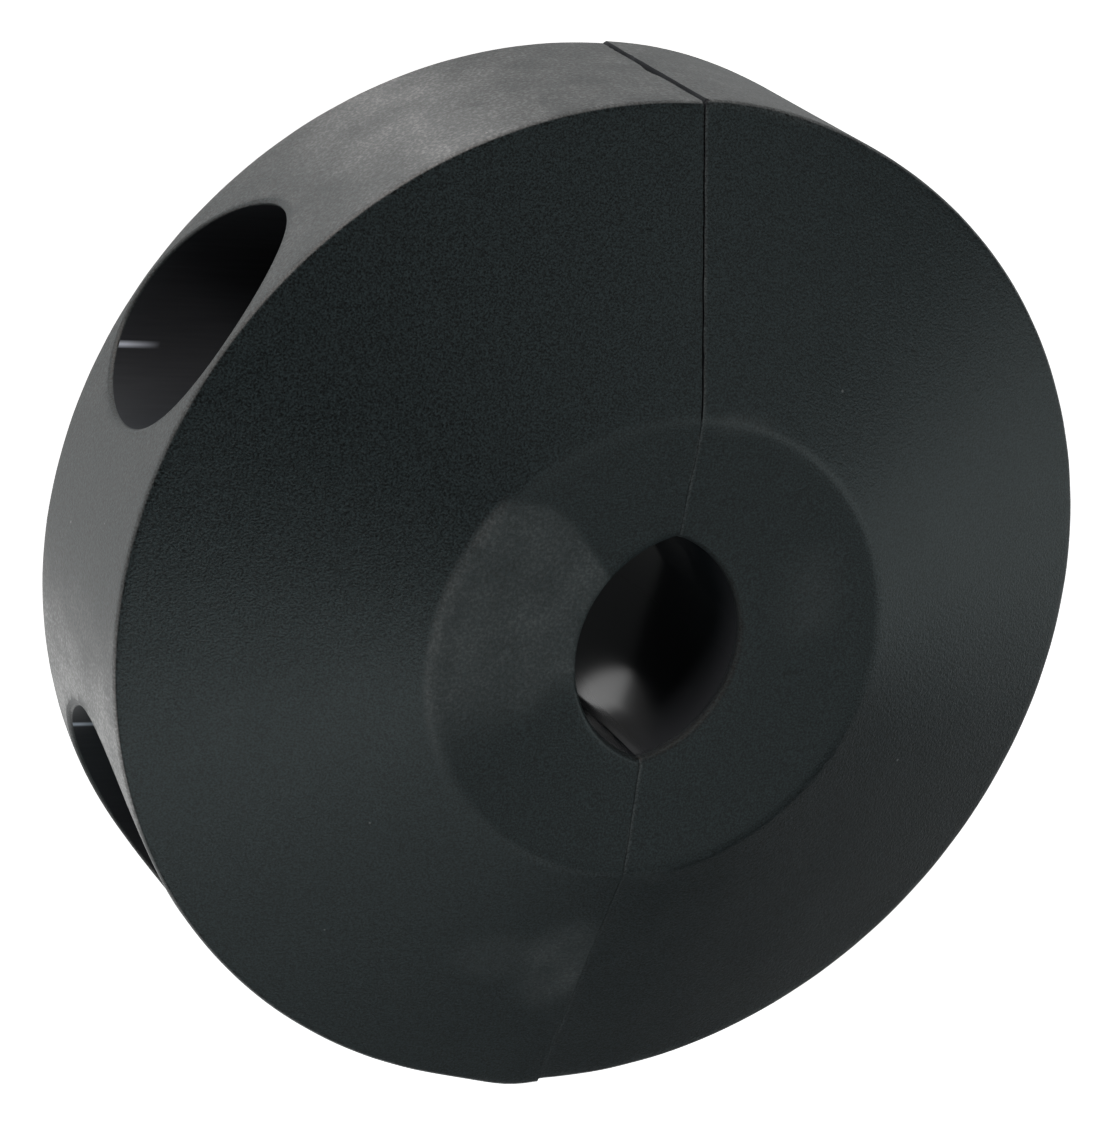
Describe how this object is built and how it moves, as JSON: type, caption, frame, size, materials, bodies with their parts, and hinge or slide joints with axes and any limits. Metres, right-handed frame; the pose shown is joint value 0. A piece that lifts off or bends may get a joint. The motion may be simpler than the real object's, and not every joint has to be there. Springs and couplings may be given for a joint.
{
  "type": "split clamp collar",
  "caption": "Split clamp collar: black moulded half discs with conical faces, drawn together round a hose, cord or shaft by through screws in deep counterbores.",
  "frame": {"origin": "on the bore's axis, halfway through the collar's thickness, in the middle of the split gap", "axes": "+Z along the bore, out of the upper hub face; +X across the split, from the screw heads towards the nuts; +Y along the split, towards the upper screw"},
  "size_m": [0.0888, 0.0888, 0.0378],
  "materials": {
    "hard_black_rubber": "hard moulded rubber with a fine satin grain",
    "zinc_plated_steel": "bright zinc plate",
    "natural_nylon": "natural nylon"
  },
  "bodies": {
    "fixed_side": {"right_half": "hard_black_rubber", "upper_nut_washer": "zinc_plated_steel", "lower_nut_washer": "zinc_plated_steel", "upper_lock_nut": "zinc_plated_steel", "lower_lock_nut": "zinc_plated_steel", "upper_nut_insert": "natural_nylon", "lower_nut_insert": "natural_nylon"},
    "opening_side": {"left_half": "hard_black_rubber", "upper_head_washer": "zinc_plated_steel", "lower_head_washer": "zinc_plated_steel"},
    "upper_screw": {"upper_clamp_screw": "zinc_plated_steel"},
    "lower_screw": {"lower_clamp_screw": "zinc_plated_steel"}
  },
  "joints": [
    {"name": "halves_open", "type": "slide", "parent": "fixed_side", "child": "opening_side", "axis": [-1, 0, 0], "range_m": [0, 0.00776]},
    {"name": "upper_screw_turn", "type": "hinge", "parent": "opening_side", "child": "upper_screw", "pos_m": [0, 0.022, 0], "axis": [-1, 0, 0], "range_deg": [0, 1980]},
    {"name": "lower_screw_turn", "type": "hinge", "parent": "opening_side", "child": "lower_screw", "pos_m": [0, -0.022, 0], "axis": [-1, 0, 0], "range_deg": [0, 1980]}
  ],
  "couplings": [
    {"joint": "upper_screw_turn", "follows": "halves_open", "rad_per_m": 4452.7},
    {"joint": "lower_screw_turn", "follows": "halves_open", "rad_per_m": 4452.7}
  ]
}
